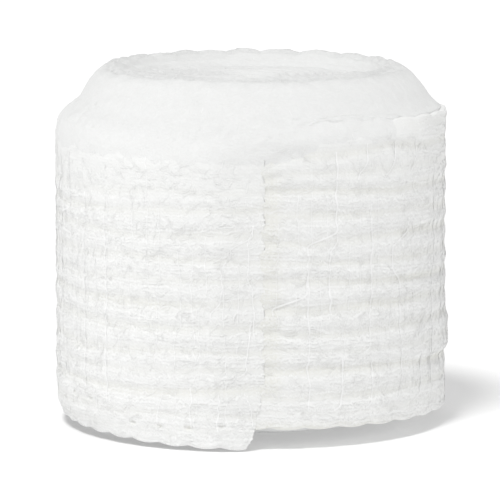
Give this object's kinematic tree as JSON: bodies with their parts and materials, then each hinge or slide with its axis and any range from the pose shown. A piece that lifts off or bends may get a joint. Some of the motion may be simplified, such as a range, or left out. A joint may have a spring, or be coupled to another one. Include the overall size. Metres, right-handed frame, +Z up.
{
  "type": "gauze bandage roll",
  "caption": "Roll of crinkled white cotton gauze bandage standing on end, its cut end lying loose down the front.",
  "frame": {"origin": "middle of the flat spot under the roll, on the plane it stands on", "axes": "+Z up along the roll's axis; -Y is the front, where the strip's cut end shows; +X is to the right seen from the front"},
  "size_m": [0.0647, 0.065, 0.0595],
  "materials": {
    "roll_gauze": "matte crinkled cotton gauze, white",
    "loose_gauze": "matte crinkled cotton gauze, white"
  },
  "bodies": {
    "root": {"wound_roll": "roll_gauze", "loose_end": "loose_gauze"}
  },
  "joints": []
}
